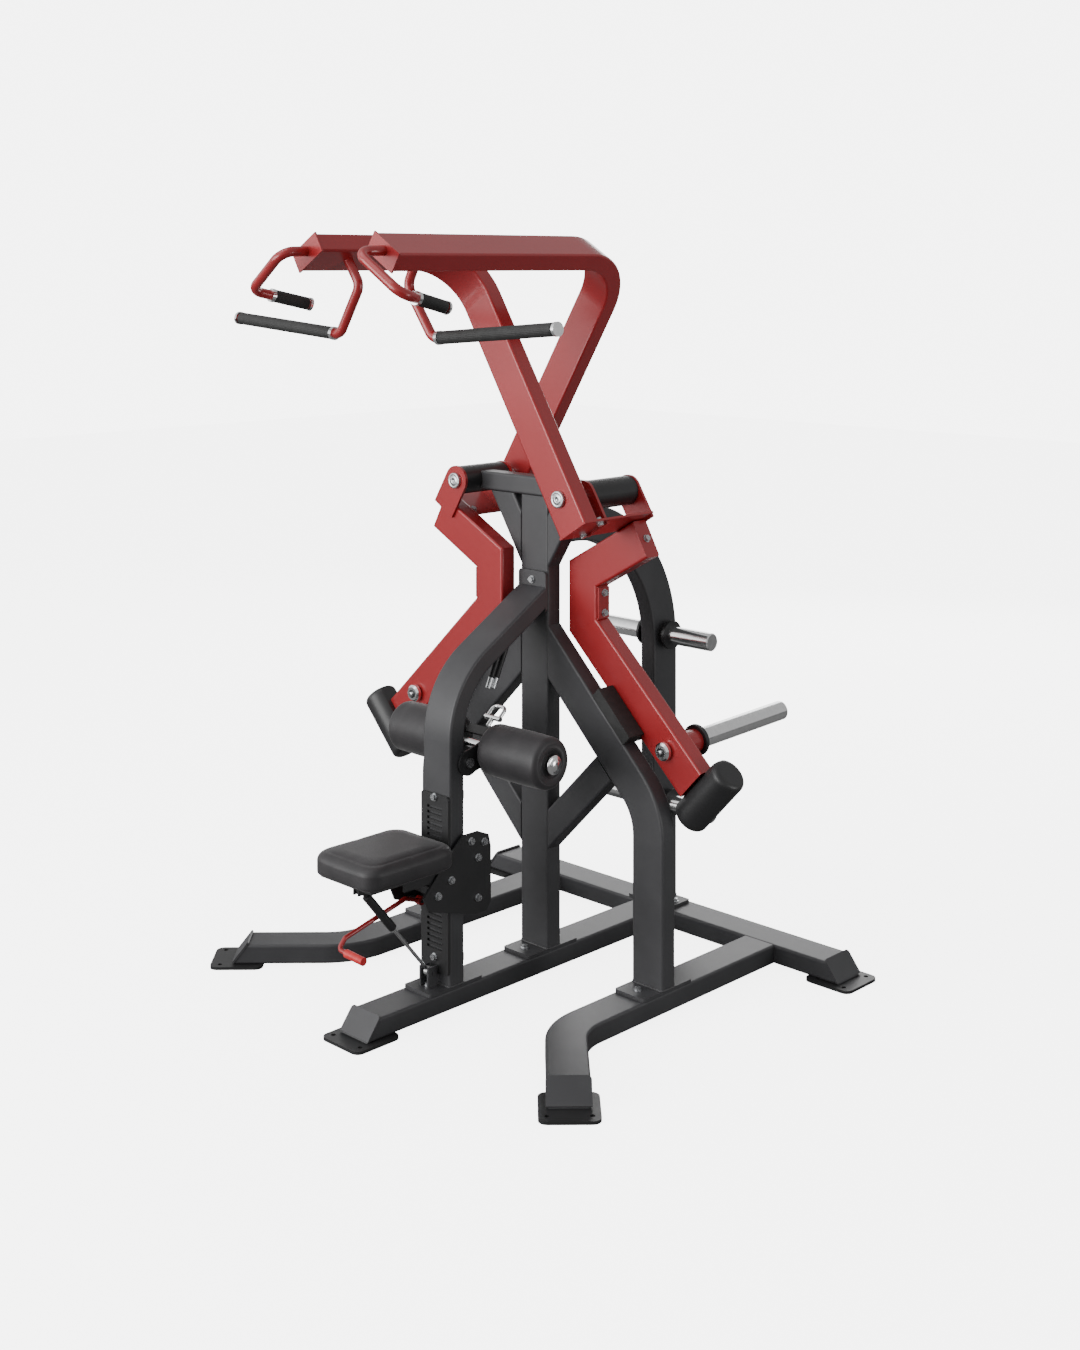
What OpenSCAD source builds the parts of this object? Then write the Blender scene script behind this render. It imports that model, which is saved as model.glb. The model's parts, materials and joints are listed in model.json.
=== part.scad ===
// Two-lever lat pulldown machine, plate loaded. Millimetres, +Z up.
// X runs across the machine, -Y is the seat end, Z = 0 is the floor.

/* [Tubes] */
// Wide side of the frame tube
tube_w = 100; // [95:1:105]
// Narrow side of the frame tube
tube_d = 50; // [46:1:54]
// Wide side of the light tube used for struts and braces
brace_w = 75; // [60:1:80]
// Wall of every tube
tube_wall = 3; // [2:0.5:4]
// Outer corner radius of every tube
tube_r = 6; // [4:0.5:10]

/* [Frame] */
// Height of the underside of the floor rails
rail_z = 8; // [8:1:10]
// Half the spacing of the two side rails and legs
leg_x = 395; // [385:1:405]
// Top of the mast
mast_top = 1254; // [1240:1:1265]
// Bend radius of the legs and side rails
leg_bend = 170; // [140:5:190]
// Bend radius of the rear arch
arch_bend = 370; // [340:5:390]
// Bend radius of the front post
post_bend = 225; // [200:5:240]

/* [Levers] */
// Distance of each lever pivot from the middle
pivot_x = 235.5; // [232:0.5:240]
// Height of the lever pivots
pivot_z = 1280; // [1275:1:1285]
// Lean of the pull arms from upright, in degrees
lever_tilt = 31.5; // [30:0.5:33]
// Length of a pull arm from its pivot to its top corner
arm_up = 722; // [700:1:740]
// Forward reach of a pull arm, measured from the mast
arm_reach = 668; // [650:1:690]
// Bend radius of the pull arms
arm_bend = 150; // [100:5:180]
// Radius of the pivot shafts
shaft_r = 15; // [12:0.5:18]
// Radius of the plate sleeves
sleeve_r = 25; // [24:0.5:25]

/* [Seat] */
// Top of the seat pad
seat_z = 450; // [445:1:455]
// Thickness of the seat pad
pad_t = 64; // [55:1:66]
// Radius of the thigh rollers
roller_r = 66; // [55:1:68]
// Height of the thigh rollers
roller_z = 638; // [632:1:644]

/* [Hidden] */

$fn = 48;
// moves the mast back so that the floor origin is under the middle of the whole machine
mast_y = 104.4;
rail_top = rail_z + tube_d;
flange_t = 8;
foot_top = rail_top + flange_t;
half_w = tube_w / 2;
half_d = tube_d / 2;
crossbar_y = 482;
post_y = -350;
post_front = post_y - half_d;
post_back = post_y + half_d;
slope_sum = 897;
slot_pitch = 14;
shaft_gap = 0.05;
bend_lap = 0.8;
bend_step = 0.06;
bolt_r = 5;
paint = [0.25, 0.25, 0.26];
black = [0.12, 0.12, 0.12];
red = [0.62, 0.13, 0.14];
steel = [0.8, 0.8, 0.82];

// ---- helpers ----
function unit(v) = v / norm(v);
function corner_points(w, d, r) = [
    for (c = [[1, 1, 0], [-1, 1, 90], [-1, -1, 180], [1, -1, 270]])
        for (step = [0:4])
            [
                c[0] * (w / 2 - r) + r * cos(c[2] + 22.5 * step),
                c[1] * (d / 2 - r) + r * sin(c[2] + 22.5 * step)
            ]
];
function turn_at(p, i) =
    i == 0 || i == len(p) - 1 ? 0 : acos(unit(p[i] - p[i - 1]) * unit(p[i + 1] - p[i]));
function trim_at(p, i, r) = r * tan(turn_at(p, i) / 2);

module place() { translate([0, mast_y, 0]) children(); }

module mirrored() {
    children();
    mirror([1, 0, 0]) children();
}

module rounded(w, d, r) { polygon(corner_points(w, d, r)); }

module tube_outline(w, d) {
    difference() {
        rounded(w, d, tube_r);
        rounded(w - 2 * tube_wall, d - 2 * tube_wall, tube_r - tube_wall);
    }
}

// local z runs along dir and local y lies towards side
module along(at, dir, side) {
    z = unit(dir);
    y = unit(side - (side * z) * z);
    x = cross(y, z);
    multmatrix([
        [x[0], y[0], z[0], at[0]],
        [x[1], y[1], z[1], at[1]],
        [x[2], y[2], z[2], at[2]],
        [0, 0, 0, 1]
    ]) children();
}

// straight run of a 2D outline between two points
module run(from, to, side) {
    along(from, to - from, side) linear_extrude(norm(to - from)) children();
}

// round bends of radius r at each inner point of a path
module bends(p, r) {
    for (i = [1:1:len(p) - 2]) {
        d = unit(p[i] - p[i - 1]);
        n = unit(cross(d, p[i + 1] - p[i]));
        inward = cross(n, d);
        c = p[i] - d * trim_at(p, i, r) + inward * r;
        multmatrix([
            [-inward[0], d[0], n[0], c[0]],
            [-inward[1], d[1], n[1], c[1]],
            [-inward[2], d[2], n[2], c[2]],
            [0, 0, 0, 1]
        ]) rotate_extrude(angle = turn_at(p, i), $fn = 96) translate([r, 0]) children();
    }
}

// tube outline carried along a path, with a round bend at each inner point
module bent(p, r, side) {
    for (i = [0:len(p) - 2]) {
        d = unit(p[i + 1] - p[i]);
        run(p[i] + d * trim_at(p, i, r), p[i + 1] - d * trim_at(p, i + 1, r), side) children();
    }
    bends(p, r) children();
}

// round bar along a path; its straight runs are a hair thinner and end inside the bends
module bent_rod(p, r, thick) {
    for (i = [0:len(p) - 2]) {
        d = unit(p[i + 1] - p[i]);
        from = p[i] + d * (trim_at(p, i, r) - (i > 0 ? bend_lap : 0));
        to = p[i + 1] - d * (trim_at(p, i + 1, r) - (i < len(p) - 2 ? bend_lap : 0));
        rod(from, to, thick - bend_step);
    }
    bends(p, r) circle(r = thick);
}

// cylinder between two points
module rod(from, to, r) {
    along(from, to - from, abs((to - from)[2]) > 0.9 * norm(to - from) ? [0, 1, 0] : [0, 0, 1])
        cylinder(r = r, h = norm(to - from));
}

// hexagon bolts with washers; each entry is a point on a face and the way out of it
module bolts(list, shank = 11) {
    for (b = list)
        along(b[0], b[1], abs(b[1][2]) > 0.5 ? [0, 1, 0] : [0, 0, 1]) {
            cylinder(r = 10, h = 2);
            translate([0, 0, 2]) cylinder(r = 8.5, h = 6, $fn = 6);
            translate([0, 0, -shank]) cylinder(r = bolt_r, h = shank);
        }
}

module bolt_holes(list, depth = 12) {
    for (b = list)
        along(b[0], b[1], abs(b[1][2]) > 0.5 ? [0, 1, 0] : [0, 0, 1])
            translate([0, 0, -depth]) cylinder(r = bolt_r + 0.3, h = depth + 1);
}

// ---- floor frame ----
// lower ends reach further than upper ends because each rail is cut on a slant
rail_low = 39;
end_plate_t = 5;
centre_end = -641;
crossbar_end = 647;
side_end = 312;
side_dir = unit([1, -1, 0]);
side_corner = [leg_x, -320, 0];
rail_mid = rail_z + half_d;

flange_bolts = concat(
    [for (x = [-leg_x, 0, leg_x]) for (y = [-60, 60]) [[x, y, foot_top], [0, 0, 1]]],
    [for (y = [-402, -298]) [[0, y, foot_top], [0, 0, 1]]],
    [for (x = [-60, 60]) [[x, crossbar_y, foot_top], [0, 0, 1]]]
);

// wedge beyond a slanted rail end; the foot of the slant is at `at`, facing `out`
module slant_cut(at, out) {
    along([at[0], at[1], rail_z], out, [0, 0, 1])
        rotate([-atan2(rail_low, tube_d), 0, 0])
            translate([-100, -20, 0]) cube([200, 140, 140]);
}

module slant_plate(at, out) {
    along([at[0], at[1], rail_z], out, [0, 0, 1])
        rotate([-atan2(rail_low, tube_d), 0, 0])
            linear_extrude(end_plate_t) {
                translate([-52, 3]) square([104, 55]);
                translate([-42, 3]) square([84, 65]);
                for (x = [-42, 42]) translate([x, 58]) circle(r = 10);
            }
}

module centre_rail() {
    color(paint) difference() {
        run([0, centre_end, rail_mid], [0, crossbar_y - half_w, rail_mid], [0, 0, 1])
            tube_outline(tube_w, tube_d);
        slant_cut([0, centre_end], [0, -1, 0]);
        bolt_holes(flange_bolts, 20);
    }
}

module side_rail() {
    corner = side_corner + [0, 0, rail_mid];
    color(paint) difference() {
        bent(
            [[leg_x, crossbar_y - half_w, rail_mid], corner, corner + side_end * side_dir],
            leg_bend, [0, 0, 1]
        ) tube_outline(tube_w, tube_d);
        slant_cut(side_corner + side_end * side_dir, side_dir);
        bolt_holes(flange_bolts, 20);
    }
}

module right_side_rail() { side_rail(); }
module left_side_rail() { mirror([1, 0, 0]) side_rail(); }

module rear_crossbar() {
    color(paint) difference() {
        run([-crossbar_end, crossbar_y, rail_mid], [crossbar_end, crossbar_y, rail_mid], [0, 0, 1])
            tube_outline(tube_w, tube_d);
        slant_cut([crossbar_end, crossbar_y], [1, 0, 0]);
        slant_cut([-crossbar_end, crossbar_y], [-1, 0, 0]);
        bolt_holes(flange_bolts, 20);
    }
}

// rounded foot plate whose bolt hole lies beyond the rail end
module foot_plate(at, turn) {
    translate(at) rotate(turn) difference() {
        linear_extrude(rail_z) rounded(140, 140, 20);
        for (x = [-50, 50]) translate([x, -44, -1]) cylinder(r = 6, h = rail_z + 2);
    }
}

foot_places = [
    [[0, -620, 0], 0],
    [[623, crossbar_y, 0], 90],
    [[-623, crossbar_y, 0], -90],
    [[609, -533, 0], 45],
    [[-609, -533, 0], -45]
];

module foot_plates() {
    color(black) for (f = foot_places) foot_plate(f[0], f[1]);
}

module foot_end_plates() {
    color(paint) {
        slant_plate([0, centre_end], [0, -1, 0]);
        mirrored() {
            slant_plate([crossbar_end, crossbar_y], [1, 0, 0]);
            slant_plate(side_corner + side_end * side_dir, side_dir);
        }
    }
}

module base_flanges() {
    color(paint) difference() {
        union() {
            for (x = [-leg_x, 0, leg_x])
                translate([x, 0, rail_top]) linear_extrude(flange_t) rounded(tube_w, 184, 8);
            translate([0, post_y, rail_top]) linear_extrude(flange_t) rounded(tube_w, 180, 8);
            translate([0, crossbar_y, rail_top]) linear_extrude(flange_t) rounded(160, 85, 8);
        }
        bolt_holes(flange_bolts, 20);
    }
}

// ---- upright frame ----
module mast() {
    color(paint) difference() {
        run([0, 0, foot_top], [0, 0, mast_top], [0, 1, 0]) tube_outline(tube_w, tube_d);
        bolt_holes([bracket_bolt], 20);
    }
}

module top_beam() {
    color(paint) difference() {
        run([-pivot_x, 0, mast_top + half_d], [pivot_x, 0, mast_top + half_d], [0, 1, 0])
            tube_outline(tube_d, tube_d);
        mirrored() rod([pivot_x, -100, pivot_z], [pivot_x, 100, pivot_z], housing_r);
    }
}

// outer edge of a strut, from the mast side up to the beam
strut_low = [47, 0, 1066];
strut_high = [166, 0, 1254];

module beam_struts() {
    dir = unit(strut_high - strut_low);
    inset = cross(dir, [0, 1, 0]) * brace_w / 2;
    color(paint) mirrored() intersection() {
        run(strut_low - 60 * dir + inset, strut_high + 60 * dir + inset, [0, 1, 0])
            tube_outline(brace_w, tube_d);
        difference() {
            translate([half_w, -half_w, 1000]) cube([300, tube_w, mast_top - 1000]);
            rod([pivot_x, -100, pivot_z], [pivot_x, 100, pivot_z], housing_r + 0.2);
        }
    }
}

module leg() {
    corner = [leg_x, 0, slope_sum - leg_x];
    color(paint) difference() {
        bent([[leg_x, 0, foot_top], corner, [0, 0, slope_sum]], leg_bend, [0, 1, 0])
            tube_outline(tube_w, tube_d);
        translate([half_w - 200, -half_w, 700]) cube([200, tube_w, 300]);
    }
}

module right_leg() { leg(); }
module left_leg() { mirror([1, 0, 0]) leg(); }

brace_rise = 332;

module leg_braces() {
    reach = (slope_sum - half_w * sqrt(2) - brace_rise) / 2;
    color(paint) mirrored() difference() {
        run([0, 0, brace_rise], [reach, 0, brace_rise + reach], [0, 1, 0])
            tube_outline(brace_w, tube_d);
        translate([half_w - 200, -half_w, 200]) cube([200, tube_w, 400]);
    }
}

arch_z = 1170;
arch_top_y = half_d;

module rear_arch() {
    color(paint) difference() {
        bent(
            [[0, crossbar_y, foot_top], [0, crossbar_y, arch_z], [0, arch_top_y, arch_z]],
            arch_bend, [1, 0, 0]
        ) tube_outline(tube_w, tube_d);
    }
}

post_slope = 31;
post_top = [0, -33, 989];
bracket_bolt = [[0, -33, 1034], [0, -1, 0]];
guide_bolts = [for (z = [132, 532]) [[0, post_front - 6, z], [0, -1, 0]]];
thigh_pin_r = 6;

module front_post() {
    corner = [0, post_y, post_top[2] - (post_top[1] - post_y) * tan(post_slope)];
    color(paint) difference() {
        union() {
            difference() {
                bent(
                    [[0, post_y, foot_top], corner, corner + 420 * [0, cos(post_slope), sin(post_slope)]],
                    post_bend, [1, 0, 0]
                ) tube_outline(tube_d, tube_w);
                translate([-half_w, post_top[1], 800]) cube([tube_w, 100, 400]);
            }
            translate([0, -half_d, 1004]) rotate([90, 0, 0]) linear_extrude(flange_t)
                rounded(tube_w, 108, 10);
            // lug for the thigh bracket
            translate([-49, post_back - 1, 598]) cube([98, 22, 36]);
        }
        rod([-80, -316, 616], [80, -316, 616], thigh_pin_r + shaft_gap);
        bolt_holes([bracket_bolt], 20);
        bolt_holes(guide_bolts, 20);
    }
}

housing_r = 38;
housing_l = 160;
bush_r = 30;
bush_l = 32;

module bearing_housings() {
    color(black) mirrored() translate([pivot_x, housing_l / 2, pivot_z]) rotate([90, 0, 0])
        difference() {
            cylinder(r = housing_r, h = housing_l);
            translate([0, 0, -1]) cylinder(r = bush_r, h = housing_l + 2);
        }
}

module pivot_bushes() {
    color(steel) mirrored() for (y = [housing_l / 2, bush_l - housing_l / 2])
        translate([pivot_x, y, pivot_z]) rotate([90, 0, 0]) difference() {
            cylinder(r = bush_r, h = bush_l);
            translate([0, 0, -1]) cylinder(r = shaft_r + shaft_gap, h = bush_l + 2);
        }
}

bumper_l = 150;
bumper_x = 262;
// the left weight arm rests higher, so its block is thicker
function bumper_t(side) = side > 0 ? 5.5 : 21;

// rubber blocks on the upper face of each leg, where a weight arm comes to rest
module stop_bumpers() {
    face = slope_sum + half_w * sqrt(2);
    color(black) for (side = [-1, 1])
        rotate(side > 0 ? 0 : 180) translate([bumper_x, 28, face - bumper_x]) rotate([0, 45, 0])
            {
                translate([0, 0, bumper_t(side) / 2])
                    cube([bumper_l, 108, bumper_t(side)], center = true);
                translate([-bumper_l / 2, -54, 0]) cube([bumper_l, 55, 32]);
            }
}

storage_rows = [817, 340];
storage_reach = 195;
storage_collar = 26;
collar_r = 40;

module storage_horns() {
    color(steel) for (z = storage_rows) mirrored()
        translate([half_d, crossbar_y, z]) rotate([0, 90, 0])
            {
                cylinder(r = 20, h = storage_collar);
                translate([0, 0, storage_collar]) cylinder(r = sleeve_r, h = 10);
                sleeve(sleeve_r, storage_collar + 2, storage_reach - half_d, 3);
            }
}

module storage_collars() {
    color(black) for (z = storage_rows) mirrored()
        translate([half_d, crossbar_y, z]) rotate([0, 90, 0]) difference() {
            union() {
                cylinder(r = 32, h = 18);
                translate([0, 0, 18]) cylinder(r = collar_r, h = storage_collar - 18);
            }
            translate([0, 0, -1]) cylinder(r = 20, h = 30);
        }
}

module frame_bolts() {
    color(steel) {
        bolts(flange_bolts);
        bolts([bracket_bolt]);
        bolts(guide_bolts, 9);
        // hinge pin of the thigh bracket
        rod([-60, -316, 616], [60, -316, 616], thigh_pin_r);
        mirrored() rod([58.5, -316, 616], [65, -316, 616], 12);
    }
}

// ---- seat guide and post fittings ----
guide_low = 95;
guide_high = 540;
slot_w = 54;
slot_h = 7;

module seat_guide_plate() {
    color(black) difference() {
        translate([0, post_front, (guide_low + guide_high) / 2]) rotate([90, 0, 0])
            linear_extrude(6) rounded(tube_w, guide_high - guide_low, 8);
        for (z = [152:slot_pitch:508])
            translate([-slot_w / 2, post_front - 7, z]) cube([slot_w, 8, slot_h]);
        bolt_holes(guide_bolts, 20);
    }
}

module seat_guide_strip() {
    color(black) {
        translate([-25, post_back, 108]) cube([50, 15, 429]);
        for (z = [108, 517]) translate([-25, post_back + 15, z]) cube([50, 7, 20]);
    }
}

spring_low = [0, -400, 100];
spring_high = [0, -622, 361];

module gas_spring_bracket() {
    color(paint) difference() {
        mirrored() translate([11, post_front - 42, foot_top]) cube([6, 30, 50]);
        rod([-30, spring_low[1], spring_low[2]], [30, spring_low[1], spring_low[2]], 4.2);
    }
    color(steel) rod([-20, spring_low[1], spring_low[2]], [20, spring_low[1], spring_low[2]], 4.1);
}

// pegs for rubber bands, hung from the underside of the sloping post
module band_pegs() {
    color(steel) difference() {
        for (p = [[[0, -129, 915], [0, -195, 773]], [[0, -99, 933], [0, -177, 770]]])
            rod(p[0], p[1], 7);
        translate([-half_w, post_top[1], post_top[2]]) rotate([post_slope, 0, 0])
            translate([0, -400, -half_d]) cube([tube_w, 500, 100]);
    }
}

// ---- thigh rollers ----
roller_y = -240;
axle_r = 12;
roller_in = 66;
roller_out = 275;
plate_x = 52;

module thigh_bracket() {
    color(black) {
        difference() {
            mirrored() translate([plate_x, 0, 0]) rotate([90, 0, 90]) linear_extrude(6) {
                polygon([[-316, 583], [-240, 606], [-240, 670], [-316, 648]]);
                translate([-316, 615.5]) circle(r = 32.5);
                translate([roller_y, roller_z]) circle(r = 32);
            }
            rod([-70, roller_y, roller_z], [70, roller_y, roller_z], axle_r);
            rod([-70, -316, 616], [70, -316, 616], thigh_pin_r + shaft_gap);
        }
        // tie bar between the two side plates
        translate([-plate_x, -222, 655]) rotate([41, 0, 0]) cube([2 * plate_x, 24, 8]);
    }
}

module thigh_axle() {
    color(steel) {
        rod([-roller_out, roller_y, roller_z], [roller_out, roller_y, roller_z], axle_r);
        mirrored() translate([roller_out, roller_y, roller_z]) rotate([0, 90, 0])
            cylinder(r = 24, h = 8);
    }
}

pin_dir = unit([0, 25, 22]);

module thigh_pin() {
    base = [0, -196, 676];
    color(steel) {
        rod(base, base + 26 * pin_dir, 6);
        bent_rod(
            [
                base + [-22, 0, 0] + 20 * pin_dir, base + [-22, 0, 0] + 62 * pin_dir,
                base + [22, 0, 0] + 62 * pin_dir, base + [22, 0, 0] + 20 * pin_dir
            ],
            14, 5
        );
        rod(base + [-28, 0, 0] + 26 * pin_dir, base + [28, 0, 0] + 26 * pin_dir, 6.5);
    }
}

module thigh_roller() {
    color(black) translate([roller_in, roller_y, roller_z]) rotate([0, 90, 0]) difference() {
        cylinder(r = roller_r, h = roller_out - roller_in - 1);
        translate([0, 0, -1]) cylinder(r = axle_r + shaft_gap, h = 300);
    }
}

module right_thigh_roller() { thigh_roller(); }
module left_thigh_roller() { mirror([1, 0, 0]) thigh_roller(); }

// ---- seat ----
carriage_x = 59;
carriage_t = 6;
carriage_screws = [
    [-385, 340], [-293, 375], [-293, 274], [-429, 311], [-317, 421], [-272, 410]
];

// side plate outline in Y and Z
module carriage_outline() {
    polygon([
        [-459, 279], [-475, 315], [-400, 392], [-340, 440], [-290, 440], [-255, 425],
        [-247, 394], [-247, 255], [-262, 234], [-300, 234], [-400, 262]
    ]);
}

module seat_carriage() {
    color(black) {
        difference() {
            mirrored() translate([carriage_x, 0, 0]) rotate([90, 0, 90])
                linear_extrude(carriage_t) carriage_outline();
            for (s = carriage_screws)
                rod([-80, s[0], s[1]], [80, s[0], s[1]], bolt_r + 0.3);
            translate([-100, pad_front, pan_z - 0.3]) cube([200, pad_back - pad_front + 0.3, 80]);
        }
        // glide blocks behind the strip and a cross plate in front of the guide
        for (z = [274, 375])
            translate([-carriage_x, -309, z - 16]) difference() {
                cube([2 * carriage_x, 32, 32]);
                translate([-1, 16, 16]) rotate([0, 90, 0]) cylinder(r = bolt_r + 0.3, h = 200);
            }
        translate([-carriage_x, -410, 296]) cube([2 * carriage_x, 28, 20]);
        // pin that the release lever turns on
        rod([-carriage_x, release_pivot[1], release_pivot[2]], release_pivot + [10, 0, 0], 4.95);
    }
}

module carriage_bolts() {
    color(steel) mirrored() for (s = carriage_screws)
        bolts([[[carriage_x + carriage_t, s[0], s[1]], [1, 0, 0]]], 8);
}

pan_z = seat_z - pad_t;
pad_front = -692;
pad_back = -398;
pad_w = 236;

module seat_pan() {
    color(black) {
        translate([-95, pad_front + 25, pan_z - 6.2]) cube([190, 250, 6]);
        difference() {
            mirrored() translate([52, pad_front + 160, pan_z - 42]) cube([6.8, 135, 36.5]);
            rod([-80, -429, 311], [80, -429, 311], bolt_r + 0.3);
        }
        difference() {
            mirrored() translate([6, spring_high[1] - 14, spring_high[2] - 12])
                cube([5, 28, pan_z - spring_high[2] + 7]);
            rod([-30, spring_high[1], spring_high[2]], [30, spring_high[1], spring_high[2]], 5);
        }
    }
}

module seat_pad() {
    color(black) translate([0, (pad_front + pad_back) / 2, pan_z])
        linear_extrude(pad_t) rounded(pad_w, pad_back - pad_front, 35);
}

release_pivot = [-20, -412, 276];

module release_lever() {
    color(red) difference() {
        union() {
            bent_rod(
                [
                    release_pivot, [-20, -461, 292], [-20, -653, 246],
                    [-20, -672, 224], [20, -672, 222]
                ],
                12, 6
            );
            rod(release_pivot - [8, 0, 0], release_pivot + [8, 0, 0], 11);
        }
        rod(release_pivot - [40, 0, 0], release_pivot + [40, 0, 0], 5);
    }
}

module release_grip() {
    color(red) difference() {
        rod([8, -672, 222], [72, -672, 219], 10);
        rod([0, -672, 222.4], [20.2, -672, 222], 6.1);
    }
}

function spring_point(t) = spring_low + t * unit(spring_high - spring_low);

module gas_spring_rod() {
    color(steel) difference() {
        union() {
            rod(spring_point(12), spring_point(255), 4.5);
            rod(spring_low - [6, 0, 0], spring_low + [6, 0, 0], 13);
        }
        rod(spring_low - [30, 0, 0], spring_low + [30, 0, 0], 4.15);
    }
}

module gas_spring_tube() {
    length = norm(spring_high - spring_low);
    color(black) difference() {
        union() {
            rod(spring_point(185), spring_point(length - 30), 11);
            rod(spring_point(length - 31), spring_point(length - 5), 5.4);
            rod(spring_high - [4, 0, 0], spring_high + [4, 0, 0], 11);
        }
        rod(spring_point(100), spring_point(length - 35), 4.55);
    }
}

// ---- levers ----
// Each lever is drawn in the right-hand place; the left one is turned half round.
arm_y = -151;
arm_low = -84;
web_t = 5.5;
cheek_w = 80;
cheek_in = 82;
cheek_t = 8;
mitre_gap = 0.03;
weight_in = 32;
weight_out = 82;

module lever(side) { rotate(side > 0 ? 0 : 180) children(); }

// local z runs up the pull arm from the pivot
module lever_frame() {
    translate([pivot_x, 0, pivot_z]) rotate([0, -lever_tilt, 0]) children();
}

module lever_hole(r) {
    rod([pivot_x, -300, pivot_z], [pivot_x, 300, pivot_z], r);
}

module pull_arm(side) {
    color(red) lever(side) difference() {
        lever_frame() {
            bent(
                [[0, arm_y, arm_low], [0, arm_y, arm_up], [0, -side * arm_reach, arm_up]],
                arm_bend, [1, 0, 0]
            ) tube_outline(tube_d, tube_w);
            translate([-52, -side * arm_reach - (side > 0 ? 5 : 0), arm_up - 27]) cube([104, 5, 54]);
        }
        lever_hole(shaft_r + 0.2);
    }
}

cheek_l = 96;
web_bolt_x = 34;
function web_bolt_rows(side) = side > 0 ? [-106] : [-106, 10];

module yoke(side) {
    color(red) lever(side) {
        difference() {
            lever_frame() for (y = [-cheek_in - cheek_t, cheek_in])
                translate([0, y + cheek_t, 0]) rotate([90, 0, 0]) linear_extrude(cheek_t) {
                    circle(r = cheek_w / 2);
                    translate([-cheek_w / 2, -cheek_l]) square([cheek_w, cheek_l]);
                }
            lever_hole(shaft_r + 0.2);
        }
        lever_frame() difference() {
            web_end = side > 0 ? cheek_in : weight_in;
            translate([-half_w, arm_y - half_d, arm_low - web_t])
                cube([tube_w, web_end - arm_y + half_d, web_t]);
            for (y = web_bolt_rows(side)) for (x = [-web_bolt_x, web_bolt_x])
                translate([x, y, -100]) cylinder(r = bolt_r + 0.3, h = 30);
        }
    }
}

function weight_path(side) = side > 0
    ? [[317, 1163], [121, 1055], [121, 919], [487, 573]]
    : [[306, 1185], [114, 1083], [114, 948], [480, 602]];

// offset to the wide tube's edge on the mitre line at point i of path p
function edge_at(p, i) =
    let (
        before = unit(p[i] - p[max(i - 1, 0)] + (i == 0 ? p[1] - p[0] : [0, 0])),
        after = unit(i == len(p) - 1 ? before : p[i + 1] - p[i]),
        n0 = [-before[1], before[0]],
        n1 = [-after[1], after[0]],
        b = unit(n0 + n1)
    ) (half_w + 2) * b / (b * n0);

// three lengths of tube, cut on the mitre and welded: a hair apart, so each is its own solid
module mitred(side) {
    p = weight_path(side);
    mid_y = (weight_in + weight_out) / 2;
    for (i = [0:len(p) - 2]) intersection() {
        dir = unit(p[i + 1] - p[i]);
        from = p[i] - 60 * dir;
        to = p[i + 1] + 60 * dir;
        run([from[0], mid_y, from[1]], [to[0], mid_y, to[1]], [0, 1, 0]) children();
        start = p[i] + (i > 0 ? mitre_gap : 0) * dir;
        end = p[i + 1] - (i < len(p) - 2 ? mitre_gap : 0) * dir;
        translate([0, weight_out + 1, 0]) rotate([90, 0, 0]) linear_extrude(tube_d + 2)
            polygon([
                start - edge_at(p, i), end - edge_at(p, i + 1),
                end + edge_at(p, i + 1), start + edge_at(p, i)
            ]);
    }
}

module weight_arm(side) {
    p = weight_path(side);
    mid_y = (weight_in + weight_out) / 2;
    back = unit(p[0] - p[1]);
    color(red) lever(side) difference() {
        union() {
            mitred(side) tube_outline(tube_w, tube_d);
            // end plate, and the plate bolted to the outer face of the upright part
            along([p[0][0] + 0.05 * back[0], mid_y, p[0][1] + 0.05 * back[1]], [back[0], 0, back[1]],
                [0, 1, 0]) linear_extrude(4.95) rounded(tube_w, tube_d, tube_r);
            translate([p[2][0] + half_w + 0.05, mid_y - 20, p[2][1] + 24]) cube([4.95, 40, 80]);
        }
        bolt_holes(arm_bolts(side), 20);
        rod([horn_at(side)[0], 0, horn_at(side)[1]], [horn_at(side)[0], 120, horn_at(side)[1]], 14);
    }
}

function horn_at(side) = side > 0 ? [408, 645] : [400, 676];

// end plate bolt of the weight arm, and the two bolts of the plate on its upright part
function arm_bolts(side) =
    let (p = weight_path(side), d = unit(p[0] - p[1]), mid_y = (weight_in + weight_out) / 2)
    concat(
        [[[p[0][0] + 5 * d[0], mid_y, p[0][1] + 5 * d[1]], [d[0], 0, d[1]]]],
        [for (z = [38, 90])
            [[p[2][0] + half_w + 5, mid_y, p[2][1] + z], [1, 0, 0]]]
    );

module lever_bolts(side) {
    color(steel) lever(side) {
        bolts(arm_bolts(side), 9);
        lever_frame() for (y = web_bolt_rows(side)) for (x = [-web_bolt_x, web_bolt_x]) {
            bolts([[[x, y, arm_low], [0, 0, 1]]], web_t / 2 + 0.3);
            bolts([[[x, y, arm_low - web_t], [0, 0, -1]]], web_t / 2);
        }
    }
}

module shaft(side) {
    color(steel) lever(side) {
        rod([pivot_x, arm_y - half_d, pivot_z], [pivot_x, cheek_in + cheek_t, pivot_z], shaft_r);
        rod([pivot_x, arm_y - half_d - 7, pivot_z], [pivot_x, arm_y - half_d, pivot_z], 21);
        rod([pivot_x, cheek_in + cheek_t, pivot_z], [pivot_x, cheek_in + cheek_t + 7, pivot_z], 21);
    }
}

horn_rise = 2;
neck_l = 115;
horn_l = 480;

// local z runs along the horn from the front face of the weight arm
module horn_frame(side) {
    lever(side) along(
        [horn_at(side)[0], side > 0 ? weight_in : weight_out, horn_at(side)[1]],
        [0, side * cos(horn_rise), sin(horn_rise)], [0, 0, 1]
    ) children();
}

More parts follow.
